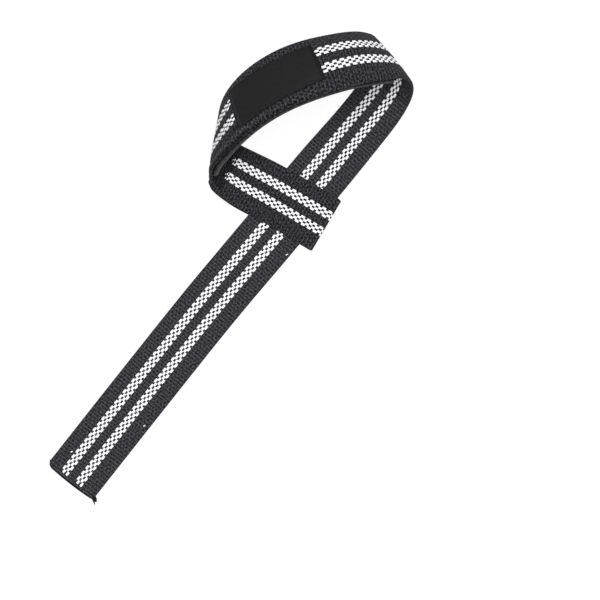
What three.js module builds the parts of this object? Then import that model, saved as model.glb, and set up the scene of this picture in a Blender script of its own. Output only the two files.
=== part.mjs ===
import * as THREE from "three";

// Lifting strap: one length of woven webbing with a flat tail, a padded wrist loop and a sewn end eye.
// Millimetres, +Z up. The tail lies on the table along Y, and the loop stands up beyond the eye.

const WEBBING_WIDTH = 38;
const WEBBING_THICKNESS = 2.5;
const PIECE_GAP = 0.3;

// Wrist pad, on the inside of the loop, from one distance along the webbing to another.
const PAD_THICKNESS = 4;
const PAD_FROM = 367;
const PAD_TO = 510;
const PAD_RING_STEP = 4.1;

// Label patch, on the outside of the loop. Its lower side closes in towards the far end of the band.
const LABEL_LENGTH = 56;
const LABEL_WIDTH = 27.5;
const LABEL_THICKNESS = 1;
const LABEL_MIDDLE = 440.3;
const LABEL_OFF_CENTRE = 1.4;
const LABEL_CLOSING = 3;
const LABEL_RING_STEP = 4.5;

// Sewn end eye: the webbing folds back under itself and is stitched down short of the pad.
const FOLD_STEPS = 8;
const SEWN_SPACING = WEBBING_THICKNESS + PIECE_GAP;
const SEWN_END = 515;
const EYE_OPENS_FROM = 530;
const EYE_OPENS_TO = 546;
const UNDER_LAYER_RING_STEP = 5;

// The middle of the finished shape, seen from above.
const MIDDLE_X = -22.41;
const MIDDLE_Y = -46.48;

// Where the middle of the webbing goes. Heading is the way the cross line points, seen from above,
// tilt its rise above level, and bow how far the middle stands out from the edges. The table holds up
// whatever would lie lower than half the thickness.
const STATIONS = [
  { name: "tail_end", x: -1.5, y: -219.5, z: 1, heading: 0, tilt: 0, bow: 0 },
  { name: "tail_middle", x: -2, y: -116, z: 1, heading: 0, tilt: 0, bow: 0 },
  { name: "tail_foot", x: -1.5, y: -52, z: 1, heading: 0, tilt: 0, bow: 0 },
  { name: "eye_mouth", x: -0.2, y: -13, z: 4.3, heading: 0, tilt: 0, bow: 0 },
  { name: "under_eye", x: 0.3, y: 14, z: 4.4, heading: 0, tilt: 0, bow: 0 },
  { name: "past_eye", x: 0.7, y: 38, z: 4.5, heading: -0.5, tilt: 1, bow: 0 },
  { name: "rise", x: 1.9, y: 78, z: 7.5, heading: -6, tilt: 12.5, bow: -1.5 },
  { name: "climb", x: -1.5, y: 117.5, z: 24, heading: -8, tilt: 23, bow: 2 },
  { name: "far_turn", x: -8, y: 119.5, z: 39, heading: -22, tilt: 26.5, bow: 1 },
  { name: "over", x: -12.5, y: 115.2, z: 45.2, heading: -28, tilt: 24.5, bow: 1.5 },
  { name: "band_far", x: -28, y: 94, z: 58.7, heading: -32, tilt: 16, bow: 4.5 },
  { name: "band_top", x: -47.5, y: 62, z: 63, heading: -29.5, tilt: 19, bow: 0.5 },
  { name: "band_near", x: -58, y: 35.5, z: 51, heading: -33.5, tilt: 26, bow: 2 },
  { name: "near_turn", x: -60.5, y: 18.5, z: 35, heading: -47, tilt: 32, bow: 1 },
  { name: "drop", x: -56.5, y: 8, z: 18.5, heading: -64, tilt: 30.5, bow: 1.5 },
  { name: "landing", x: -37, y: 8, z: 8, heading: -76, tilt: 10, bow: 0 },
  { name: "eye_near", x: -20, y: 11, z: 7.5, heading: -81, tilt: 1.5, bow: 0 },
  { name: "eye_top", x: 0, y: 14, z: 7.5, heading: -81.5, tilt: 0, bow: 0 },
  { name: "eye_fold", x: 21.5, y: 17, z: 7.5, heading: -82, tilt: 0, bow: 0 },
];

// Spacing of the cross sections along the webbing: wide on the straight tail, close where it bends.
const RING_SPACING = [
  { part: "tail", to: 179, step: 16 },
  { part: "loop_and_eye", to: Infinity, step: 4 },
];

// Cross section: share of the half width, and share of the half thickness there.
const WEBBING_SECTION = [
  { across: -1, thick: 0.55 },
  { across: -0.96, thick: 1 },
  { across: -0.64, thick: 1 },
  { across: -0.32, thick: 1 },
  { across: 0, thick: 1 },
  { across: 0.32, thick: 1 },
  { across: 0.64, thick: 1 },
  { across: 0.96, thick: 1 },
  { across: 1, thick: 0.55 },
];
const PAD_SECTION = [
  { across: -1, thick: 0.5 },
  { across: -0.95, thick: 1 },
  { across: -0.6, thick: 1 },
  { across: -0.3, thick: 1 },
  { across: 0, thick: 1 },
  { across: 0.3, thick: 1 },
  { across: 0.6, thick: 1 },
  { across: 0.95, thick: 1 },
  { across: 1, thick: 0.5 },
];
const LABEL_SECTION = [
  { across: -1, thick: 1 },
  { across: -0.66, thick: 1 },
  { across: -0.33, thick: 1 },
  { across: 0, thick: 1 },
  { across: 0.33, thick: 1 },
  { across: 0.66, thick: 1 },
  { across: 1, thick: 1 },
];

// A shallow bow draws the edges in by this share of its height over the width, squared.
const BOW_NARROWING = 8 / 3;

const PATH_SAMPLE_STEP = 0.5;
const HALF_WIDTH = WEBBING_WIDTH / 2;
const HALF_THICKNESS = WEBBING_THICKNESS / 2;

// A smooth curve through values given at knots, with no bending at its two ends.
function naturalSpline(knots, values) {
  const last = knots.length - 1;
  const bend = new Array(last + 1).fill(0);
  const carry = new Array(last + 1).fill(0);
  for (let i = 1; i < last; i += 1) {
    const before = knots[i] - knots[i - 1];
    const after = knots[i + 1] - knots[i];
    const share = before / (before + after);
    const pivot = share * bend[i - 1] + 2;
    const turn = (values[i + 1] - values[i]) / after - (values[i] - values[i - 1]) / before;
    bend[i] = (share - 1) / pivot;
    carry[i] = ((6 * turn) / (before + after) - share * carry[i - 1]) / pivot;
  }
  bend[last] = 0;
  for (let i = last - 1; i >= 0; i -= 1) {
    bend[i] = bend[i] * bend[i + 1] + carry[i];
  }
  return (at) => {
    let i = 0;
    while (i < last - 1 && at > knots[i + 1]) {
      i += 1;
    }
    const span = knots[i + 1] - knots[i];
    const low = (knots[i + 1] - at) / span;
    const high = (at - knots[i]) / span;
    const curve = (low ** 3 - low) * bend[i] + (high ** 3 - high) * bend[i + 1];
    return low * values[i] + high * values[i + 1] + (curve * span * span) / 6;
  };
}

function stationPoint(row) {
  return new THREE.Vector3(row.x, row.y, row.z);
}

// Straight distance from station to station, the knots of every curve below.
const knots = [0];
for (let i = 1; i < STATIONS.length; i += 1) {
  knots.push(knots[i - 1] + stationPoint(STATIONS[i]).distanceTo(stationPoint(STATIONS[i - 1])));
}

function column(key) {
  return naturalSpline(knots, STATIONS.map((row) => row[key]));
}

const curveX = column("x");
const curveY = column("y");
const curveZ = column("z");
const curveHeading = column("heading");
const curveTilt = column("tilt");
const curveBow = column("bow");

// The middle of the webbing, which never sinks into the table.
function middleAt(knot) {
  return new THREE.Vector3(curveX(knot), curveY(knot), Math.max(curveZ(knot), HALF_THICKNESS));
}

// Distance along the webbing against the knots.
const lastKnot = knots[knots.length - 1];
const sampleCount = Math.round(lastKnot / PATH_SAMPLE_STEP);
const sampleKnots = [0];
const sampleLengths = [0];
for (let i = 1; i <= sampleCount; i += 1) {
  const knot = (lastKnot * i) / sampleCount;
  const step = middleAt(knot).distanceTo(middleAt(sampleKnots[i - 1]));
  sampleKnots.push(knot);
  sampleLengths.push(sampleLengths[i - 1] + step);
}
const FOLD_AT = sampleLengths[sampleCount];

function knotAt(length) {
  let i = 0;
  while (i < sampleCount - 1 && length > sampleLengths[i + 1]) {
    i += 1;
  }
  const share = (length - sampleLengths[i]) / (sampleLengths[i + 1] - sampleLengths[i]);
  return sampleKnots[i] + share * (sampleKnots[i + 1] - sampleKnots[i]);
}

// Place and directions of the webbing at a distance from its free end.
function frameAt(length) {
  const knot = knotAt(length);
  const before = middleAt(Math.max(knot - PATH_SAMPLE_STEP, 0));
  const after = middleAt(Math.min(knot + PATH_SAMPLE_STEP, lastKnot));
  const along = after.sub(before).normalize();
  const heading = THREE.MathUtils.degToRad(curveHeading(knot));
  const tilt = THREE.MathUtils.degToRad(curveTilt(knot));
  const level = Math.cos(tilt);
  const across = new THREE.Vector3(Math.cos(heading) * level, Math.sin(heading) * level, Math.sin(tilt));
  across.addScaledVector(along, -across.dot(along)).normalize();
  const inward = new THREE.Vector3().crossVectors(across, along);
  return { middle: middleAt(knot), across, along, inward, bow: curveBow(knot) };
}

// A point beside the middle line, at a distance across and a height towards the inside of the loop.
function surfacePoint(frame, across, height) {
  const share = across / HALF_WIDTH;
  const narrowing = 1 - BOW_NARROWING * (frame.bow / WEBBING_WIDTH) ** 2;
  const lift = height - frame.bow * (1 - share * share);
  const point = frame.middle.clone();
  point.addScaledVector(frame.across, across * narrowing);
  point.addScaledVector(frame.inward, lift);
  return point;
}

// A closed strip of cloth: the section carried through every frame, kept above the table and capped.
function stripGeometry(frames, section, halfWidth, offCentre, height, thickness) {
  const positions = [];
  const faces = [];
  const columns = section.length;
  for (const frame of frames) {
    const closing = (frame.closing ?? 0) / 2;
    for (const side of [1, -1]) {
      for (const cell of section) {
        const lift = height + (side * cell.thick * thickness) / 2;
        const across = offCentre - closing + cell.across * (halfWidth - closing);
        const point = surfacePoint(frame, across, lift);
        positions.push(point.x - MIDDLE_X, point.y - MIDDLE_Y, Math.max(point.z, 0));
      }
    }
  }
  const top = (ring, cell) => ring * 2 * columns + cell;
  const under = (ring, cell) => ring * 2 * columns + columns + cell;
  const quad = (a, b, c, d) => faces.push(a, b, c, a, c, d);
  const lastCell = columns - 1;
  const lastRing = frames.length - 1;
  for (let i = 0; i < lastRing; i += 1) {
    for (let k = 0; k < lastCell; k += 1) {
      quad(top(i, k), top(i, k + 1), top(i + 1, k + 1), top(i + 1, k));
      quad(under(i, k), under(i + 1, k), under(i + 1, k + 1), under(i, k + 1));
    }
    quad(top(i, lastCell), under(i, lastCell), under(i + 1, lastCell), top(i + 1, lastCell));
    quad(top(i, 0), top(i + 1, 0), under(i + 1, 0), under(i, 0));
  }
  for (let k = 0; k < lastCell; k += 1) {
    quad(top(0, k), under(0, k), under(0, k + 1), top(0, k + 1));
    quad(top(lastRing, k), top(lastRing, k + 1), under(lastRing, k + 1), under(lastRing, k));
  }
  const geometry = new THREE.BufferGeometry();
  geometry.setAttribute("position", new THREE.Float32BufferAttribute(positions, 3));
  geometry.setIndex(faces);
  geometry.computeVertexNormals();
  return geometry;
}

function evenFrames(from, to, step) {
  const count = Math.ceil((to - from) / step);
  return Array.from({ length: count + 1 }, (_, i) => frameAt(from + ((to - from) * i) / count));
}

// The upper run of the webbing, from the free end of the tail to the fold of the eye.
function upperFrames() {
  const frames = [];
  let from = 0;
  for (const row of RING_SPACING) {
    const to = Math.min(row.to, FOLD_AT);
    const run = evenFrames(from, to, row.step);
    frames.push(...(from === 0 ? run : run.slice(1)));
    from = to;
  }
  return frames;
}

const foldFrame = frameAt(FOLD_AT);
const FOLD_RADIUS = (foldFrame.middle.z - HALF_THICKNESS) / 2;

// The half turn at the end of the eye.
function foldFrames() {
  const centre = foldFrame.middle.clone().addScaledVector(foldFrame.inward, -FOLD_RADIUS);
  const frames = [];
  for (let i = 1; i <= FOLD_STEPS; i += 1) {
    const angle = (Math.PI * i) / FOLD_STEPS;
    const inward = foldFrame.inward.clone().multiplyScalar(Math.cos(angle));
    inward.addScaledVector(foldFrame.along, Math.sin(angle));
    const middle = centre.clone().addScaledVector(inward, FOLD_RADIUS);
    frames.push({ middle, across: foldFrame.across, inward, bow: 0 });
  }
  return frames;
}

// The under layer of the eye, back from the fold to the seam, held open where the tail passes.
function underFrames() {
  const frames = [];
  const count = Math.ceil((FOLD_AT - SEWN_END) / UNDER_LAYER_RING_STEP);
  for (let i = 1; i <= count; i += 1) {
    const length = FOLD_AT - ((FOLD_AT - SEWN_END) * i) / count;
    const above = frameAt(length);
    const open = THREE.MathUtils.smoothstep(length, EYE_OPENS_FROM, EYE_OPENS_TO);
    const spacing = THREE.MathUtils.lerp(SEWN_SPACING, above.middle.z - HALF_THICKNESS, open);
    const middle = above.middle.clone().addScaledVector(above.inward, -spacing);
    middle.z = Math.max(middle.z, HALF_THICKNESS);
    const inward = above.inward.clone().negate();
    frames.push({ middle, across: above.across, inward, bow: -above.bow });
  }
  return frames;
}

function namedMesh(name, geometry, colour, roughness) {
  const material = new THREE.MeshStandardMaterial({ color: colour, roughness, metalness: 0 });
  const mesh = new THREE.Mesh(geometry, material);
  mesh.name = name;
  return mesh;
}

const webbingFrames = [...upperFrames(), ...foldFrames(), ...underFrames()];
const webbing = stripGeometry(webbingFrames, WEBBING_SECTION, HALF_WIDTH, 0, 0, WEBBING_THICKNESS);

const padHeight = HALF_THICKNESS + PIECE_GAP + PAD_THICKNESS / 2;
const padFrames = evenFrames(PAD_FROM, PAD_TO, PAD_RING_STEP);
const pad = stripGeometry(padFrames, PAD_SECTION, HALF_WIDTH, 0, padHeight, PAD_THICKNESS);

const labelHeight = -(HALF_THICKNESS + PIECE_GAP + LABEL_THICKNESS / 2);
const labelFrom = LABEL_MIDDLE - LABEL_LENGTH / 2;
const labelFrames = evenFrames(labelFrom, labelFrom + LABEL_LENGTH, LABEL_RING_STEP);
labelFrames.forEach((frame, i) => {
  frame.closing = LABEL_CLOSING * (1 - i / (labelFrames.length - 1));
});
const label = stripGeometry(
  labelFrames, LABEL_SECTION, LABEL_WIDTH / 2, LABEL_OFF_CENTRE, labelHeight, LABEL_THICKNESS,
);

const strap = new THREE.Group();
strap.name = "lifting_strap";
strap.add(namedMesh("strap_webbing", webbing, 0x2b2b2e, 0.9));
strap.add(namedMesh("wrist_pad", pad, 0x34353a, 0.8));
strap.add(namedMesh("label_patch", label, 0x232326, 0.7));

export default strap;
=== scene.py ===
"""Looks of a lifting strap: woven webbing with lattice stripes, a wrist pad, a bare label and its sewing."""
import math

import bpy
import numpy as np
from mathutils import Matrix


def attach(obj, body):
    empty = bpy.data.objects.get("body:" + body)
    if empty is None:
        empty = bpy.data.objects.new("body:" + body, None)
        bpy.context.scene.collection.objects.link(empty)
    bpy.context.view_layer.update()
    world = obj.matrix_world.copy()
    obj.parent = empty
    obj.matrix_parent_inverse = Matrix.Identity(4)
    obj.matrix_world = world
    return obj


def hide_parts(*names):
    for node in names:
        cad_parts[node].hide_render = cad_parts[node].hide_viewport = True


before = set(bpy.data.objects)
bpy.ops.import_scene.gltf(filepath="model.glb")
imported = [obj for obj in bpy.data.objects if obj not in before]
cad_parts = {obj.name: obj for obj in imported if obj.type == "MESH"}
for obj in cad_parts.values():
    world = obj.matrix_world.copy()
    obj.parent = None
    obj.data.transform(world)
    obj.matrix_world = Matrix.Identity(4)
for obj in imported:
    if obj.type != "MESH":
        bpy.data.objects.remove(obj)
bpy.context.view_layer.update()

# Sizes are in millimetres and become metres where meshes are made.
MM = 0.001

# The strap as it is cut and sewn, the same as its solids.
WEBBING_WIDTH = 38.0
WEBBING_THICKNESS = 2.5
PIECE_GAP = 0.3
PAD_THICKNESS = 4.0
PAD_FROM, PAD_TO = 367.0, 510.0
LABEL_LENGTH, LABEL_WIDTH, LABEL_THICKNESS = 56.0, 27.5, 1.0
LABEL_MIDDLE, LABEL_OFF_CENTRE = 440.3, 1.4
LABEL_CLOSING = 3.0
LABEL_FROM, LABEL_TO = LABEL_MIDDLE - LABEL_LENGTH / 2, LABEL_MIDDLE + LABEL_LENGTH / 2
LABEL_LEFT, LABEL_RIGHT = LABEL_OFF_CENTRE - LABEL_WIDTH / 2, LABEL_OFF_CENTRE + LABEL_WIDTH / 2
SEWN_SPACING = WEBBING_THICKNESS + PIECE_GAP
SEWN_END = 515.0
EYE_OPENS_FROM, EYE_OPENS_TO = 530.0, 546.0
MIDDLE_X, MIDDLE_Y = -22.41, -46.48
BOW_NARROWING = 8 / 3
HALF_WIDTH = WEBBING_WIDTH / 2
HALF_THICKNESS = WEBBING_THICKNESS / 2

# Where the middle of the webbing goes: x, y, z, heading and tilt of the cross line, bow of the middle.
STATIONS = {
    "tail_end": (-1.5, -219.5, 1, 0, 0, 0),
    "tail_middle": (-2, -116, 1, 0, 0, 0),
    "tail_foot": (-1.5, -52, 1, 0, 0, 0),
    "eye_mouth": (-0.2, -13, 4.3, 0, 0, 0),
    "under_eye": (0.3, 14, 4.4, 0, 0, 0),
    "past_eye": (0.7, 38, 4.5, -0.5, 1, 0),
    "rise": (1.9, 78, 7.5, -6, 12.5, -1.5),
    "climb": (-1.5, 117.5, 24, -8, 23, 2),
    "far_turn": (-8, 119.5, 39, -22, 26.5, 1),
    "over": (-12.5, 115.2, 45.2, -28, 24.5, 1.5),
    "band_far": (-28, 94, 58.7, -32, 16, 4.5),
    "band_top": (-47.5, 62, 63, -29.5, 19, 0.5),
    "band_near": (-58, 35.5, 51, -33.5, 26, 2),
    "near_turn": (-60.5, 18.5, 35, -47, 32, 1),
    "drop": (-56.5, 8, 18.5, -64, 30.5, 1.5),
    "landing": (-37, 8, 8, -76, 10, 0),
    "eye_near": (-20, 11, 7.5, -81, 1.5, 0),
    "eye_top": (0, 14, 7.5, -81.5, 0, 0),
    "eye_fold": (21.5, 17, 7.5, -82, 0, 0),
}
PATH_STEP = 0.25

# Weave of the webbing: a crosswise rib for every half period of the stripes.
LATTICE_PERIOD = 4.555
RIB_PITCH = LATTICE_PERIOD / 2
RIB_HEIGHT = 0.16
RIB_PHASE = 0.9
BASKET_PITCH = 2.75
WARP_PITCH = 0.8
GROUND_HEIGHT = 0.88
ROWS_PER_RIB = 4.5
EDGE_ROUND = 0.9
EDGE_FUZZ = 0.15
FACE_COLUMNS = 33

# Tone of the webbing: what each part of the weave adds, painted shade in the rib grooves and in the folds
# over the pad, and what changes on the band and the eye.
BASE_TONE, RIB_SHADE_TONE, FUZZ_TONE, FOLD_SHADE_TONE = 0.57, 0.21, 0.7, 1.1
UNEVEN_TONE, BASKET_TONE = 2.5, 0.13
# From here on, over the band and the eye, the webbing is darker and more uneven, with less of the basket.
BAND_TONE_FROM, BAND_BASE_TONE, BAND_UNEVEN_TONE, BAND_BASKET_TONE = 330.0, -0.16, 1.1, 0.07
UNEVEN_STRETCH = (0.75, 1.3, 1.0)
WARP_RELIEF, FUZZ_RELIEF = 0.25, 1.4

# The free end of the tail: radius of its two corners, bulge of its middle, and where both have died away.
LEFT_CORNER, RIGHT_CORNER, END_BULGE, CORNER_BLEND = 4.2, 2.0, 0.9, 9.0

# The sewn end of the layer below: the share of its thickness left, how far it is pressed, its length.
SEWN_END_THINNED, SEWN_END_PRESSED, SEWN_END_TAPER = 0.5, 1.0, 7.0

# Folds along the lower edge of the band, over the pad: place across, half width, height.
CREASES = ((12.6, 1.1, -0.3), (16.0, 1.2, 0.3), (18.7, 0.8, -0.6))
CREASE_STARTS, CREASE_STOPS = (400.0, 490.0), (505.0, 513.0)
CREASE_WANDER, CREASE_WAVE = 0.4, 19.0

# The wrist pad: the paler cut end, the round edges, and how much thinner the last stretch is.
PAD_CUT = 0.8
PAD_ROWS, PAD_COLUMNS, PAD_EDGE, PAD_EDGE_STEPS = 90, 21, 1.4, 5
PAD_END_SHARE, PAD_END_REACH = 0.92, 1.5
# Painted shade: the pad's side is darker towards the webbing and paler towards its inner face.
PAD_HEIGHT_SHADE_TONE, PAD_GRAIN_TONE, PAD_MOTTLE_TONE, PAD_CUT_TONE = 0.45, 0.9, 0.8, 0.3
KNIT_ACROSS, KNIT_ALONG, KNIT_RELIEF = 0.55, 0.7, 0.5

# The label: its mesh, its edge, its hems, with painted shade along the hem at its start, and its satin
# weave.
LABEL_ROWS, LABEL_COLUMNS, LABEL_EDGE = 70, 21, 0.4
LABEL_HEM, PALE_HEM_TONE, HEM_SHADE_TONE = 2.2, 0.3, -0.25
SATIN_ACROSS, SATIN_ALONG = 0.4, 0.9

# Lattice stripes: four columns of white floats that overlap like bricks, on both faces.
# For each column: place across, share of the period at the middle of a float, its length, its slant.
STRIPE_MIDDLES = {"left": -6.6, "right": 5.15}
STRIPE_COLUMNS = (
    (-2.13, 0.19, 2.9, 0.05),
    (-0.8, 0.68, 2.6, 0.05),
    (0.76, 0.22, 2.6, 0.05),
    (2.09, 0.69, 2.9, 0.05),
)
SLANT_EASES_FROM, SLANT_EASES_TO, LOOP_SLANT = 190.0, 240.0, 0.25
# How far the give of the cloth carries the floats along, at distances from the free end.
LATTICE_GIVE = {250.0: 0.0, 315.0: -1.0, 400.0: -0.5, 480.0: -1.0, 535.0: -2.4, 600.0: -2.8}
FLOAT_RINGS = 7
FLOAT_SQUARENESS = 4
YARNS_IN_FLOAT = (-0.45, 0.0, 0.45)
YARN_HALF_WIDTH = 0.35
YARN_HALF_HEIGHT = 0.2
YARN_HEIGHT = 1.03
YARN_DIVE = 0.5
FLOAT_NARROWING = 0.25
YARN_SIDES = 6
YARN_TWIST, THREAD_TWIST = 9.0, 10.0
STRIPE_FROM, STRIPE_UNDER_LABEL, STRIPE_PAST_LABEL, STRIPE_BEFORE_FOLD = 1.2, 2.0, 0.5, 2.0

# Sewing: the seam that closes the eye and the line round the label.
# The seam's rows are packed densely: partly real stitching, partly painted shade under the band.
SEAM_FROM, SEAM_TO, SEAM_ROW_PITCH = 514.0, 525.0, 1.35
SEAM_STITCH, SEAM_THREAD, SEAM_INSET = 2.3, 0.4, 1.2
# The label's line sits at the very edge: partly real stitching, partly painted shade in the gap at the
# label's edge.
LABEL_STITCH, LABEL_THREAD, LABEL_STITCH_INSET = 2.4, 0.34, 0.45
STITCH_GAP, STITCH_RINGS = 0.45, 7

# Threads wound over the free end. Half of one winding: share of its reach, distance beyond that, height.
OVERCAST_INSET, OVERCAST_PITCH, OVERCAST_REACH, OVERCAST_UNEVEN = 0.4, 0.62, 1.1, 0.3
OVERCAST_LEAST_SLANT, OVERCAST_MOST_SLANT = 0.1, 0.5
OVERCAST_WINDING = (
    (1.0, 0.0, 0.75),
    (1.0, -0.3, 1.02),
    (0.5, 0.0, 1.05),
    (0.0, 0.3, 1.05),
    (0.0, -0.2, 0.85),
    (0.0, -0.4, 0.0),
)
OVERCAST_HALF_WIDTH, OVERCAST_HALF_HEIGHT = 0.3, 0.2

# Their loose ends at the right corner: where they start, how long they are, and how they curl and drop.
LOOSE_THREADS, LOOSE_RINGS, LOOSE_LONGEST, LOOSE_SHORTEST_SHARE = 22, 7, 4.3, 0.5
LOOSE_FROM, LOOSE_TO, LOOSE_INSET = 0.2, 3.0, 0.8
LOOSE_LEAN, LOOSE_CURL = 0.35, 0.3
LOOSE_HEIGHT, LOOSE_LEAST_DROP, LOOSE_MOST_DROP, LOOSE_SPREAD = 0.8, 1.0, 1.8, 0.3
LOOSE_HALF_WIDTH, LOOSE_HALF_HEIGHT = 0.38, 0.34

# Bits of white yarn caught at the seam, for each stripe.
FLECKS_IN_STRIPE, FLECK_SPREAD, FLECK_LENGTH, FLECK_TURN = 3, 2.0, 0.9, 0.6
FLECK_NEAREST, FLECK_FARTHEST = 0.2, 2.4
FLECK_LIFT, FLECK_SAG, FLECK_HALF_WIDTH = 0.12, 0.4, 0.26

# Stray fibres: distance from the free end, place across, turn.
LINT = ((16.3, -11.4, 0.6), (59.5, 15.6, 0.2), (206.8, 17.1, 0.5))
LINT_LENGTH, LINT_SAG, LINT_HALF_WIDTH = 1.5, 0.2, 0.35
FIBRE_RINGS, FIBRE_HALF_HEIGHT = 5, 0.16

SEED = 7

# The camera hangs over the middle of the picture, turned about the vertical.
CAMERA_HEIGHT = 550.0
VIEW_WIDTH = 397.2
CAMERA_X, CAMERA_Y = 42.22 - MIDDLE_X, -31.24 - MIDDLE_Y
CAMERA_TURN = 38.6
SENSOR_WIDTH = 36.0

# The stage: half the floor's side in metres, how far it drops, its grey and glow, and the world's light.
FLOOR_HALF, FLOOR_DROP = 3.0, 0.05
FLOOR_GREY, FLOOR_GLOW, WORLD_GLOW = 0.1, 0.9, 0.22
WHITE = (1, 1, 1, 1)
# Lamps: name, place and size in metres, power in watts.
LAMPS = (
    ("key", (0.06, 0.12, 1.4), 0.8, 20.0),
    ("fill", (0.5, -0.3, 1.3), 1.0, 9.5),
)


def unit(vectors):
    """Every row scaled to length one."""
    return vectors / np.linalg.norm(vectors, axis=-1, keepdims=True)


def natural_spline(knots, values):
    """A smooth curve through rows of values at knots, with no bending at its two ends."""
    count = len(knots)
    spans = np.diff(knots)
    system = np.eye(count)
    turns = np.zeros_like(values)
    for i in range(1, count - 1):
        system[i, i - 1 : i + 2] = spans[i - 1], 2 * (spans[i - 1] + spans[i]), spans[i]
        after = (values[i + 1] - values[i]) / spans[i]
        before = (values[i] - values[i - 1]) / spans[i - 1]
        turns[i] = 6 * (after - before)
    bends = np.linalg.solve(system, turns)

    def at(where):
        i = np.clip(np.searchsorted(knots, where) - 1, 0, count - 2)
        span = spans[i][:, None]
        low = (knots[i + 1] - where)[:, None] / span
        high = 1 - low
        curve = (low**3 - low) * bends[i] + (high**3 - high) * bends[i + 1]
        return low * values[i] + high * values[i + 1] + curve * span**2 / 6

    return at


def smoothstep(values, start, end):
    """0 before start, 1 after end, and a soft rise between."""
    share = np.clip((values - start) / (end - start), 0, 1)
    return share * share * (3 - 2 * share)


class Path:
    """Frames of the webbing by distance from its free end: the upper run, the fold and the layer below."""

    def __init__(self):
        rows = np.array(list(STATIONS.values()), float)
        steps = np.linalg.norm(np.diff(rows[:, :3], axis=0), axis=1)
        knots = np.concatenate([[0], np.cumsum(steps)])
        where = np.linspace(0, knots[-1], int(knots[-1] / PATH_STEP) + 1)
        values = natural_spline(knots, rows)(where)
        middle = values[:, :3]
        middle[:, 2] = np.maximum(middle[:, 2], HALF_THICKNESS)
        along = unit(np.gradient(middle, where, axis=0))
        heading, tilt = np.radians(values[:, 3]), np.radians(values[:, 4])
        level = np.cos(tilt)
        across = np.stack([np.cos(heading) * level, np.sin(heading) * level, np.sin(tilt)], axis=1)
        across = unit(across - (across * along).sum(1, keepdims=True) * along)
        inward = np.cross(across, along)
        bow = values[:, 5]
        moves = np.linalg.norm(np.diff(middle, axis=0), axis=1)
        length = np.concatenate([[0], np.cumsum(moves)])
        self.fold_at = length[-1]
        upper = [length, middle, across, inward, bow]
        fold = self.fold_frames(middle[-1], across[-1], along[-1], inward[-1])
        under = self.under_frames(upper, fold[0][-1])
        parts = [np.concatenate(columns) for columns in zip(upper, fold, under)]
        self.length, self.middle, self.across, self.inward, self.bow = parts
        self.end = self.length[-1]

    def fold_frames(self, middle, across, along, inward):
        """The half turn at the end of the eye."""
        radius = (middle[2] - HALF_THICKNESS) / 2
        count = int(math.pi * radius / PATH_STEP)
        angle = np.linspace(0, math.pi, count + 1)[1:, None]
        turned = np.cos(angle) * inward + np.sin(angle) * along
        middles = middle - radius * inward + radius * turned
        lengths = self.fold_at + radius * angle[:, 0]
        return [lengths, middles, np.tile(across, (count, 1)), turned, np.zeros(count)]

    def under_frames(self, upper, start):
        """The layer below, back to the seam, held open where the tail passes."""
        length, middle, across, inward, bow = upper
        keep = np.flatnonzero(length >= SEWN_END)[::-1][1:]
        above = middle[keep]
        opened = smoothstep(length[keep], EYE_OPENS_FROM, EYE_OPENS_TO)
        spacing = SEWN_SPACING + opened * (above[:, 2] - HALF_THICKNESS - SEWN_SPACING)
        below = above - spacing[:, None] * inward[keep]
        below[:, 2] = np.maximum(below[:, 2], HALF_THICKNESS)
        lengths = start + self.fold_at - length[keep]
        return [lengths, below, across[keep], -inward[keep], -bow[keep]]

    def point(self, length, across, height):
        """Places in metres, at a distance along, a distance across and a height towards the inside."""
        spread = np.broadcast_arrays(length, across, height)
        length, across, height = (np.asarray(values, float).ravel() for values in spread)

        def pick(rows):
            return np.stack([np.interp(length, self.length, column) for column in rows.T], axis=1)

        bow = np.interp(length, self.length, self.bow)
        narrowing = 1 - BOW_NARROWING * (bow / WEBBING_WIDTH) ** 2
        lift = height - bow * (1 - (across / HALF_WIDTH) ** 2)
        places = pick(self.middle) + (across * narrowing)[:, None] * unit(pick(self.across))
        places += lift[:, None] * unit(pick(self.inward))
        places += np.minimum(length, 0)[:, None] * np.cross(self.inward[0], self.across[0])
        places -= (MIDDLE_X, MIDDLE_Y, 0)
        places[:, 2] = np.maximum(places[:, 2], 0)
        return places * MM


PATH = Path()


def make_object(name, points, faces, material, **attributes):
    """A smooth mesh object with vector attributes on its points."""
    mesh = bpy.data.meshes.new(name)
    mesh.from_pydata(points.tolist(), [], faces)
    mesh.shade_smooth()
    for key, values in attributes.items():
        layer = mesh.attributes.new(key, "FLOAT_VECTOR", "POINT")
        layer.data.foreach_set("vector", np.ascontiguousarray(values, np.float32).ravel())
    mesh.materials.append(material)
    mesh.validate()
    piece = bpy.data.objects.new(name, mesh)
    bpy.context.scene.collection.objects.link(piece)
    return piece


def tube_faces(rings, sides, start=0):
    """Quads of a closed tube of rings, with a face on each end."""
    ring = np.arange(rings - 1)[:, None] * sides
    side = np.arange(sides)[None, :]
    after = (side + 1) % sides
    quads = np.stack([ring + side, ring + sides + side, ring + sides + after, ring + after], axis=-1)
    faces = (quads.reshape(-1, 4) + start).tolist()
    faces.append([start + k for k in range(sides)])
    faces.append([start + (rings - 1) * sides + k for k in reversed(range(sides))])
    return faces


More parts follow.
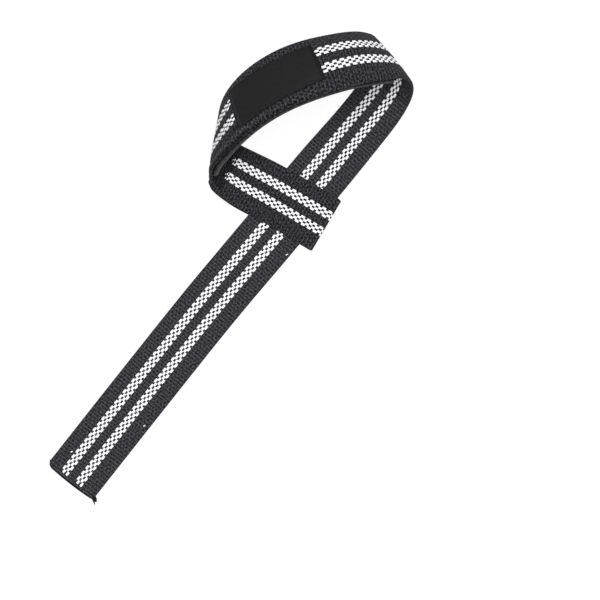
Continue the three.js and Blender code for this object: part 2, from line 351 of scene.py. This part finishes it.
class Threads:
    """Many yarns or stitches gathered into one mesh."""

    def __init__(self):
        self.centres = []
        self.marks = []
        self.faces = []
        self.count = 0

    def add(self, length, across, height, half_width, half_height, sideways=None):
        """A yarn of oval section through points given along, across and above the webbing."""
        centre = np.stack([length, across, height], axis=1)
        run = unit(np.gradient(centre, axis=0))
        wide = unit(np.cross((0, 0, 1), run)) if sideways is None else np.tile(sideways, (len(run), 1))
        high = np.cross(run, wide)
        angle = np.linspace(0, 2 * math.pi, YARN_SIDES, endpoint=False)
        half_width = np.broadcast_to(half_width, len(centre))[:, None, None]
        oval = half_width * np.cos(angle)[:, None] * wide[:, None]
        oval = oval + half_height * np.sin(angle)[:, None] * high[:, None]
        self.centres.append((centre[:, None] + oval).reshape(-1, 3))
        travelled = np.concatenate([[0], np.cumsum(np.linalg.norm(np.diff(centre, axis=0), axis=1))])
        marks = np.stack(np.broadcast_arrays(travelled[:, None], angle[None, :], self.count), axis=-1)
        self.marks.append(marks.reshape(-1, 3))
        self.faces += tube_faces(len(centre), YARN_SIDES, self.count)
        self.count += len(centre) * YARN_SIDES

    def stitches(self, start, end, pitch, face, height, radius):
        """A line of stitches from one (along, across) place to another on one face."""
        start, end = np.array(start, float), np.array(end, float)
        reach = np.linalg.norm(end - start)
        count = max(1, round(reach / pitch))
        bend = np.linspace(0, 1, STITCH_RINGS)
        for i in range(count):
            share = (i + STITCH_GAP / pitch / 2 + bend * (1 - STITCH_GAP / pitch)) / count
            line = start + share[:, None] * (end - start)
            arch = height - radius + radius * np.sin(math.pi * bend) ** 0.5
            self.add(line[:, 0], line[:, 1], face * arch, radius, radius)

    def build(self, name, material):
        """All of them as one piece."""
        points = PATH.point(*np.concatenate(self.centres).T)
        return make_object(name, points, self.faces, material, yarn=np.concatenate(self.marks))


class Nodes:
    """A short way to write a material's node tree."""

    def __init__(self, name):
        self.material = bpy.data.materials.new(name)
        self.material.use_nodes = True
        self.tree = self.material.node_tree
        self.shader = self.tree.nodes["Principled BSDF"]

    def socket(self, value, target):
        """Links a value that is a socket, and sets one that is a number or a colour."""
        if isinstance(value, bpy.types.NodeSocket):
            self.tree.links.new(value, target)
        elif value is not None:
            target.default_value = value

    def math(self, operation, first, second=None):
        """The result of one step of arithmetic."""
        node = self.tree.nodes.new("ShaderNodeMath")
        node.operation = operation
        self.socket(first, node.inputs[0])
        self.socket(second, node.inputs[1])
        return node.outputs[0]

    def attribute(self, name):
        """A vector kept on the points of the mesh, whole and in its three parts."""
        node = self.tree.nodes.new("ShaderNodeAttribute")
        node.attribute_name = name
        split = self.tree.nodes.new("ShaderNodeSeparateXYZ")
        self.tree.links.new(node.outputs["Vector"], split.inputs[0])
        return node.outputs["Vector"], split.outputs

    def noise(self, vector, scale, detail=2.0):
        """Soft noise between 0 and 1."""
        node = self.tree.nodes.new("ShaderNodeTexNoise")
        node.inputs["Scale"].default_value = scale
        node.inputs["Detail"].default_value = detail
        self.socket(vector, node.inputs["Vector"])
        return node.outputs["Fac"]

    def stretched(self, vector, scales):
        """The vector with each part times a scale of its own."""
        node = self.tree.nodes.new("ShaderNodeVectorMath")
        node.operation = "MULTIPLY"
        self.socket(vector, node.inputs[0])
        node.inputs[1].default_value = scales
        return node.outputs[0]

    def object_place(self):
        """Where a point lies on its object, in metres."""
        return self.tree.nodes.new("ShaderNodeTexCoord").outputs["Object"]

    def wave(self, value, pitch):
        """A cosine of the value that repeats every pitch."""
        return self.math("COSINE", self.math("MULTIPLY", value, 2 * math.pi / pitch))

    def total(self, base, *terms):
        """A base plus other values, each times its weight."""
        for value, weight in terms:
            base = self.math("ADD", base, self.math("MULTIPLY", value, weight))
        return base

    def twisted(self, turns):
        """Ridges that wind round a yarn."""
        travelled, angle, _ = self.attribute("yarn")[1]
        return self.math("COSINE", self.total(angle, (travelled, turns)))

    def ramp(self, value, *stops):
        """A colour that follows the value through stops of place and colour."""
        node = self.tree.nodes.new("ShaderNodeValToRGB")
        self.socket(value, node.inputs[0])
        elements = node.color_ramp.elements
        while len(elements) < len(stops):
            elements.new(0.5)
        for element, (place, colour) in zip(elements, stops):
            element.position = place
            element.color = (*colour, 1)
        return node.outputs[0]

    def bump(self, height, strength, distance_mm):
        """Fine relief in the shading."""
        node = self.tree.nodes.new("ShaderNodeBump")
        node.inputs["Strength"].default_value = strength
        node.inputs["Distance"].default_value = distance_mm * MM
        self.socket(height, node.inputs["Height"])
        self.socket(node.outputs[0], self.shader.inputs["Normal"])

    def finish(self, colour, roughness, sheen=0.0, specular=0.3):
        """The material, with its shader set."""
        self.socket(colour, self.shader.inputs["Base Color"])
        self.socket(roughness, self.shader.inputs["Roughness"])
        self.shader.inputs["Sheen Weight"].default_value = sheen
        self.shader.inputs["Specular IOR Level"].default_value = specular
        return self.material


def webbing_material():
    """Black cotton webbing: a painted highlight on the crest of each rib and painted shade in its grooves,
    with uneven yarns and a little fuzz.
    """
    nodes = Nodes("black_webbing")
    place, (across, along, relief) = nodes.attribute("weave")
    rib = nodes.wave(nodes.math("SUBTRACT", along, RIB_PHASE), RIB_PITCH)
    basket = nodes.math("MULTIPLY", nodes.wave(across, BASKET_PITCH), nodes.wave(along, LATTICE_PERIOD))
    yarns = nodes.noise(nodes.stretched(place, UNEVEN_STRETCH), scale=1.0, detail=2)
    uneven = nodes.math("SUBTRACT", yarns, 0.5)
    fuzz = nodes.math("SUBTRACT", nodes.noise(place, scale=3.2, detail=4), 0.5)
    warp = nodes.wave(across, WARP_PITCH)
    band_and_eye = nodes.math("GREATER_THAN", along, BAND_TONE_FROM)
    tone = nodes.total(
        BASE_TONE,
        (band_and_eye, BAND_BASE_TONE),
        # Partly painted shade in the grooves between ribs and painted highlight on each crest, partly the
        # yarn's own tone.
        (rib, RIB_SHADE_TONE),
        (uneven, nodes.total(UNEVEN_TONE, (band_and_eye, BAND_UNEVEN_TONE))),
        (basket, nodes.total(BASKET_TONE, (band_and_eye, BAND_BASKET_TONE))),
        (fuzz, FUZZ_TONE),
        # Painted shade in the grooves of the folds over the pad, and a painted highlight on their ridge.
        (relief, FOLD_SHADE_TONE),
    )
    dark, middle, pale = (0.002, 0.002, 0.003), (0.0195, 0.019, 0.0225), (0.066, 0.063, 0.075)
    colour = nodes.ramp(tone, (0.0, dark), (0.5, middle), (1.0, pale))
    nodes.bump(nodes.total(0.0, (warp, WARP_RELIEF), (fuzz, FUZZ_RELIEF)), strength=0.8, distance_mm=0.3)
    return nodes.finish(colour, roughness=0.9, sheen=0.03, specular=0.12)


def yarn_material():
    """White pattern yarn with a soft twist."""
    nodes = Nodes("white_yarn")
    twist = nodes.twisted(YARN_TWIST)
    speck = nodes.noise(nodes.object_place(), scale=2200.0, detail=3)
    dull, bright = (0.72, 0.71, 0.735), (0.84, 0.835, 0.85)
    colour = nodes.ramp(speck, (0.25, dull), (0.7, bright))
    nodes.bump(nodes.math("ADD", twist, speck), strength=0.35, distance_mm=0.12)
    return nodes.finish(colour, roughness=0.8, sheen=0.2)


def pad_material():
    """Foam rubber faced with fine jersey, with painted shade on its side towards the webbing."""
    nodes = Nodes("pad_neoprene")
    place, (across, along, share) = nodes.attribute("weave")
    knit = nodes.math("MULTIPLY", nodes.wave(across, KNIT_ACROSS), nodes.wave(along, KNIT_ALONG))
    grain = nodes.noise(place, scale=2.5, detail=4)
    mottle = nodes.math("SUBTRACT", nodes.noise(place, scale=0.6, detail=3), 0.5)
    cut = nodes.math("GREATER_THAN", along, PAD_TO - PAD_CUT)
    tone = nodes.total(
        0.0,
        # Painted shade: darker where the side meets the webbing, paler towards the inner face.
        (share, PAD_HEIGHT_SHADE_TONE),
        (grain, PAD_GRAIN_TONE),
        (mottle, PAD_MOTTLE_TONE),
        (cut, PAD_CUT_TONE),
    )
    dark, middle, pale = (0.004, 0.004, 0.004), (0.05, 0.049, 0.05), (0.1, 0.098, 0.1)
    colour = nodes.ramp(tone, (0.1, dark), (0.5, middle), (0.95, pale))
    nodes.bump(nodes.total(grain, (knit, KNIT_RELIEF)), strength=0.35, distance_mm=0.12)
    return nodes.finish(colour, roughness=0.8, specular=0.15)


def label_material():
    """Bare satin-woven label, with painted shade along the hem at its start."""
    nodes = Nodes("label_satin")
    place, (across, along, _) = nodes.attribute("weave")
    satin = nodes.math("MULTIPLY", nodes.wave(across, SATIN_ACROSS), nodes.wave(along, SATIN_ALONG))
    grain = nodes.noise(place, scale=1.8, detail=4)
    pale_hem = nodes.math("GREATER_THAN", along, LABEL_TO - LABEL_HEM)
    # Painted shade along the hem at the label's start, where it meets the stripes.
    shaded_hem = nodes.math("LESS_THAN", along, LABEL_FROM + LABEL_HEM)
    tone = nodes.total(grain, (pale_hem, PALE_HEM_TONE), (shaded_hem, HEM_SHADE_TONE))
    dark, middle, pale = (0.0075, 0.0075, 0.0075), (0.0165, 0.0165, 0.0165), (0.03, 0.03, 0.03)
    colour = nodes.ramp(tone, (0.3, dark), (0.75, middle), (1.0, pale))
    nodes.bump(nodes.math("ADD", satin, grain), strength=0.25, distance_mm=0.08)
    return nodes.finish(colour, roughness=0.7, specular=0.1)


def thread_material():
    """Black sewing thread."""
    nodes = Nodes("black_thread")
    twist = nodes.twisted(THREAD_TWIST)
    speck = nodes.noise(nodes.object_place(), scale=900.0)
    dark, pale = (0.004, 0.004, 0.004), (0.02, 0.02, 0.021)
    colour = nodes.ramp(speck, (0.3, dark), (0.7, pale))
    nodes.bump(twist, strength=0.4, distance_mm=0.1)
    return nodes.finish(colour, roughness=0.8, specular=0.08)


def end_setback(across):
    """How far the free end stands back at its rounded corners, and less than nothing where it bulges."""
    radius = np.where(np.asarray(across) < 0, LEFT_CORNER, RIGHT_CORNER)
    past = np.clip(np.abs(across) - (HALF_WIDTH - radius), 0, radius)
    bulge = END_BULGE * np.clip(1 - (across / HALF_WIDTH) ** 2, 0, 1)
    return radius - np.sqrt(radius**2 - past**2) - bulge


def strip(name, lengths, outline, material, swell, relief=None, closing=None):
    """A closed strip: an outline of places across and shares of the height, carried along the path.

    swell gives the middle height and half height for every length, relief the folds of the outer face,
    and closing how far places across are drawn in."""
    across, share = np.array(outline, float).T
    middle, half = (np.repeat(heights, len(across)) for heights in swell(lengths))
    grid_length = np.repeat(lengths, len(across))
    grid_across = np.tile(across, len(lengths))
    mark = np.tile(share, len(lengths))
    grid_height = middle + half * mark
    if relief:
        mark = np.where(mark < 0, relief(grid_length, grid_across), 0)
        grid_height = grid_height - mark
    if closing:
        grid_across = grid_across - closing(grid_length, grid_across)
    near_end = 1 - smoothstep(grid_length, 0, CORNER_BLEND)
    grid_length = grid_length + end_setback(grid_across) * near_end
    points = PATH.point(grid_length, grid_across, grid_height)
    # The third part of weave holds the fold relief or the share of the height, which the webbing and pad
    # materials turn into painted shade.
    weave = np.stack([grid_across, grid_length, mark], axis=1)
    faces = tube_faces(len(lengths), len(across))
    return make_object(name, points, [face[::-1] for face in faces], material, weave=weave)


def round_outline(left, right, edge, columns, steps=3):
    """Top face, right edge, lower face, left edge of a strip with rounded edges."""
    flat = np.linspace(left + edge, right - edge, columns)
    turn = np.linspace(0, math.pi, steps + 2)[1:-1]
    right_edge = [(right - edge + edge * math.sin(a), math.cos(a)) for a in turn]
    left_edge = [(left + edge - edge * math.sin(a), -math.cos(a)) for a in turn]
    top = [(a, 1) for a in flat]
    below = [(a, -1) for a in flat[::-1]]
    return top + right_edge + below + left_edge


def build_webbing():
    """The whole length of webbing, with its crosswise ribs."""
    rows = int(PATH.end / RIB_PITCH * ROWS_PER_RIB)
    lengths = np.linspace(0, PATH.end, rows + 1)

    def swell(where):
        rib = 0.5 + 0.5 * np.cos(2 * math.pi * (where - RIB_PHASE) / RIB_PITCH)
        end = 1 - smoothstep(PATH.end - where, 0, SEWN_END_TAPER)
        thinned = 1 - (1 - SEWN_END_THINNED) * end
        return -SEWN_END_PRESSED * end, thinned * (GROUND_HEIGHT + RIB_HEIGHT * rib)

    def crease(where, across):
        ends = smoothstep(where, *CREASE_STARTS) * (1 - smoothstep(where, *CREASE_STOPS))
        wander = CREASE_WANDER * np.sin(2 * math.pi * where / CREASE_WAVE)
        folds = [h * np.exp(-(((across - c - wander) / w) ** 2)) for c, w, h in CREASES]
        return ends * sum(folds)

    edge = HALF_WIDTH + EDGE_FUZZ
    outline = round_outline(-edge, edge, EDGE_ROUND, FACE_COLUMNS)
    return strip("webbing", lengths, outline, webbing_material(), swell, crease)


def build_stripe(name, middle, face, runs, material):
    """One lattice stripe on one face, face being 1 for the inside of the loop and -1 for the outside."""
    threads = Threads()
    share = np.linspace(-0.5, 0.5, FLOAT_RINGS)
    dip = (2 * np.abs(share)) ** FLOAT_SQUARENESS
    height = face * (YARN_HEIGHT - YARN_DIVE * dip)
    for start, end in runs:
        for offset, phase, shown, slant in STRIPE_COLUMNS:
            reach = shown + 2 * YARN_HALF_HEIGHT
            first = math.ceil((start + reach / 2) / LATTICE_PERIOD - phase)
            last = math.floor((end - reach / 2) / LATTICE_PERIOD - phase)
            for i in range(first, last + 1):
                length = (i + phase) * LATTICE_PERIOD + share * reach
                length += np.interp(length, list(LATTICE_GIVE), list(LATTICE_GIVE.values()))
                eased = smoothstep(length, SLANT_EASES_FROM, SLANT_EASES_TO)
                lean = slant * (1 - (1 - LOOP_SLANT) * eased)
                across = middle + face * (offset + lean * share * reach)
                for yarn in YARNS_IN_FLOAT:
                    place = across + yarn * (1 - FLOAT_NARROWING * dip)
                    threads.add(length, place, height, YARN_HALF_WIDTH, YARN_HALF_HEIGHT)
    return threads.build(name, material)


def build_pad():
    """The wrist pad on the inside of the loop."""
    lengths = np.linspace(PAD_FROM, PAD_TO, PAD_ROWS)
    inner = HALF_THICKNESS + PIECE_GAP

    def swell(where):
        ends = np.minimum(where - PAD_FROM, PAD_TO - where)
        full = smoothstep(ends, 0, PAD_END_REACH)
        half = PAD_THICKNESS / 2 * (PAD_END_SHARE + (1 - PAD_END_SHARE) * full)
        return inner + half, half

    outline = round_outline(-HALF_WIDTH, HALF_WIDTH, PAD_EDGE, PAD_COLUMNS, PAD_EDGE_STEPS)
    return strip("wrist_pad_foam", lengths, outline, pad_material(), swell)


def build_label():
    """The bare label on the outside of the loop."""
    lengths = np.linspace(LABEL_FROM, LABEL_TO, LABEL_ROWS)
    half = LABEL_THICKNESS / 2
    middle = -(HALF_THICKNESS + PIECE_GAP) - half

    def swell(where):
        return np.full_like(where, middle), np.full_like(where, half)

    def closing(where, across):
        return LABEL_CLOSING * (LABEL_TO - where) / LABEL_LENGTH * (across - LABEL_LEFT) / LABEL_WIDTH

    outline = round_outline(LABEL_LEFT, LABEL_RIGHT, LABEL_EDGE, LABEL_COLUMNS)
    return strip("label_cloth", lengths, outline, label_material(), swell, closing=closing)


def build_seam(material):
    """Close rows of stitches that shut the eye, packed densely so that they are partly real stitching and
    partly painted shade under the band.
    """
    threads = Threads()
    side = HALF_WIDTH - SEAM_INSET
    for i, row in enumerate(np.arange(SEAM_FROM, SEAM_TO, SEAM_ROW_PITCH)):
        offset = SEAM_STITCH / 2 * (i % 2)
        start, end = (row, offset - side), (row, side - SEAM_STITCH / 2 + offset)
        threads.stitches(start, end, SEAM_STITCH, 1, HALF_THICKNESS, SEAM_THREAD)
    return threads.build("seam_stitches", material)


def build_flecks(material):
    """Bits of white yarn caught between the stitches of the seam."""
    threads = Threads()
    random = np.random.default_rng(SEED)
    bend = np.linspace(-0.5, 0.5, FIBRE_RINGS)
    height = HALF_THICKNESS + FLECK_LIFT - FLECK_SAG * bend**2
    for middle in STRIPE_MIDDLES.values():
        for place in np.linspace(-FLECK_SPREAD, FLECK_SPREAD, FLECKS_IN_STRIPE):
            start = SEAM_TO - random.uniform(FLECK_NEAREST, FLECK_FARTHEST)
            turn = random.uniform(-FLECK_TURN, FLECK_TURN)
            length = start + FLECK_LENGTH * bend * math.sin(turn)
            across = middle + place + FLECK_LENGTH * bend * math.cos(turn)
            threads.add(length, across, height, FLECK_HALF_WIDTH, FIBRE_HALF_HEIGHT)
    return threads.build("seam_flecks", material)


def build_lint(material):
    """A few stray white fibres on the tail."""
    threads = Threads()
    bend = np.linspace(-0.5, 0.5, FIBRE_RINGS)
    height = HALF_THICKNESS - LINT_SAG * bend**2
    for distance, place, turn in LINT:
        length = distance + LINT_LENGTH * bend * math.cos(turn)
        across = place + LINT_LENGTH * bend * math.sin(turn)
        threads.add(length, across, height, LINT_HALF_WIDTH, FIBRE_HALF_HEIGHT)
    return threads.build("lint", material)


def build_label_line(material):
    """The line of stitches round the label, at its very edge: partly real stitching, partly painted shade in
    the gap at the label's edge.
    """
    threads = Threads()
    first, last = LABEL_FROM + LABEL_STITCH_INSET, LABEL_TO - LABEL_STITCH_INSET
    left, right = LABEL_LEFT + LABEL_STITCH_INSET, LABEL_RIGHT - LABEL_STITCH_INSET
    corners = [(first, left), (last, left), (last, right), (first, right - LABEL_CLOSING), (first, left)]
    height = HALF_THICKNESS + PIECE_GAP + LABEL_THICKNESS
    for start, end in zip(corners, corners[1:]):
        threads.stitches(start, end, LABEL_STITCH, -1, height, LABEL_THREAD)
    return threads.build("label_stitches", material)


def build_overcast(material):
    """Threads wound over the cut end of the tail, side by side, with their loose ends at one corner."""
    threads = Threads()
    random = np.random.default_rng(SEED)
    side = HALF_WIDTH - OVERCAST_INSET
    share, beyond, rise = np.array(OVERCAST_WINDING).T
    height = np.concatenate([rise, -rise[-2::-1]])
    sway = np.linspace(-1, 1, len(height))
    for place in np.arange(-side, side, OVERCAST_PITCH):
        reach = OVERCAST_REACH + random.uniform(-OVERCAST_UNEVEN, OVERCAST_UNEVEN)
        slant = random.uniform(OVERCAST_LEAST_SLANT, OVERCAST_MOST_SLANT)
        out = end_setback(place) + share * reach + beyond
        length = np.concatenate([out, out[-2::-1]])
        across = place + slant * sway
        threads.add(length, across, height, OVERCAST_HALF_WIDTH, OVERCAST_HALF_HEIGHT, sideways=(0, 1, 0))
    bend = np.linspace(0, 1, LOOSE_RINGS)
    for i in range(LOOSE_THREADS):
        start = random.uniform(LOOSE_FROM, LOOSE_TO)
        reach = random.uniform(LOOSE_SHORTEST_SHARE, 1.0) * LOOSE_LONGEST
        length = start - reach * (LOOSE_LEAN * bend + LOOSE_CURL * bend**2)
        drop = random.uniform(LOOSE_LEAST_DROP, LOOSE_MOST_DROP)
        height = LOOSE_HEIGHT - drop * bend + LOOSE_SPREAD * math.cos(i)
        across = side - LOOSE_INSET + reach * bend
        threads.add(length, across, height, LOOSE_HALF_WIDTH, LOOSE_HALF_HEIGHT)
    return threads.build("overcast_end", material)


def build_floor():
    """A pale floor with a glow of its own, so that shadows stay faint."""
    corners = [(-FLOOR_HALF, -FLOOR_HALF, 0), (FLOOR_HALF, -FLOOR_HALF, 0)]
    corners += [(FLOOR_HALF, FLOOR_HALF, 0), (-FLOOR_HALF, FLOOR_HALF, 0)]
    mesh = bpy.data.meshes.new("floor")
    mesh.from_pydata(corners, [], [(0, 1, 2, 3)])
    floor = bpy.data.objects.new("floor", mesh)
    floor.location.z = -FLOOR_DROP * MM
    bpy.context.scene.collection.objects.link(floor)
    nodes = Nodes("pale_floor")
    nodes.shader.inputs["Emission Color"].default_value = WHITE
    nodes.shader.inputs["Emission Strength"].default_value = FLOOR_GLOW
    grey = (FLOOR_GREY, FLOOR_GREY, FLOOR_GREY, 1)
    floor.data.materials.append(nodes.finish(grey, roughness=0.9, specular=0.0))


def build_lights():
    """Even light from all round and two soft lamps aimed at the middle of the floor."""
    world = bpy.data.worlds.new("studio")
    world.use_nodes = True
    background = world.node_tree.nodes["Background"]
    background.inputs["Color"].default_value = WHITE
    background.inputs["Strength"].default_value = WORLD_GLOW
    bpy.context.scene.world = world
    for name, place, size, power in LAMPS:
        light = bpy.data.lights.new(name, "AREA")
        light.size = size
        light.energy = power
        lamp = bpy.data.objects.new(name, light)
        lamp.location = place
        direction = -lamp.location.normalized()
        lamp.rotation_euler = direction.to_track_quat("-Z", "Y").to_euler()
        bpy.context.scene.collection.objects.link(lamp)


def build_camera():
    """The camera straight above, and plain colours in the picture."""
    camera = bpy.data.cameras.new("camera")
    camera.sensor_width = SENSOR_WIDTH
    camera.lens = SENSOR_WIDTH * CAMERA_HEIGHT / VIEW_WIDTH
    eye = bpy.data.objects.new("camera", camera)
    eye.location = (CAMERA_X * MM, CAMERA_Y * MM, CAMERA_HEIGHT * MM)
    eye.rotation_euler = (0, 0, math.radians(CAMERA_TURN))
    bpy.context.scene.collection.objects.link(eye)
    bpy.context.scene.camera = eye
    bpy.context.scene.view_settings.view_transform = "Standard"


white = yarn_material()
thread = thread_material()
webbing = build_webbing()
pad = build_pad()
label = build_label()
stripes = []
to_label = (STRIPE_FROM, LABEL_FROM + STRIPE_UNDER_LABEL)
to_fold = (LABEL_TO + STRIPE_PAST_LABEL, PATH.fold_at - STRIPE_BEFORE_FOLD)
to_pad = (STRIPE_FROM, PAD_FROM)
to_sewn_end = (SEAM_TO, PATH.end - SEWN_END_TAPER)
stripe_faces = {"inside": (1, [to_pad, to_sewn_end]), "outside": (-1, [to_label, to_fold])}
for side_name, middle in STRIPE_MIDDLES.items():
    for face_name, (face, runs) in stripe_faces.items():
        stripes.append(build_stripe(f"stripe_{side_name}_{face_name}", middle, face, runs, white))

dressed = (
    (webbing, "strap_webbing", "webbing"),
    (pad, "wrist_pad", "pad"),
    (label, "label_patch", "label"),
)
for piece, node, slot in dressed:
    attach(piece, "root")
    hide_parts(node)
sewing = [build_seam(thread), build_flecks(white), build_lint(white), build_overcast(thread)]
label_line = build_label_line(thread)
for piece in stripes + sewing:
    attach(piece, "root")
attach(label_line, "root")

build_floor()
build_lights()
build_camera()
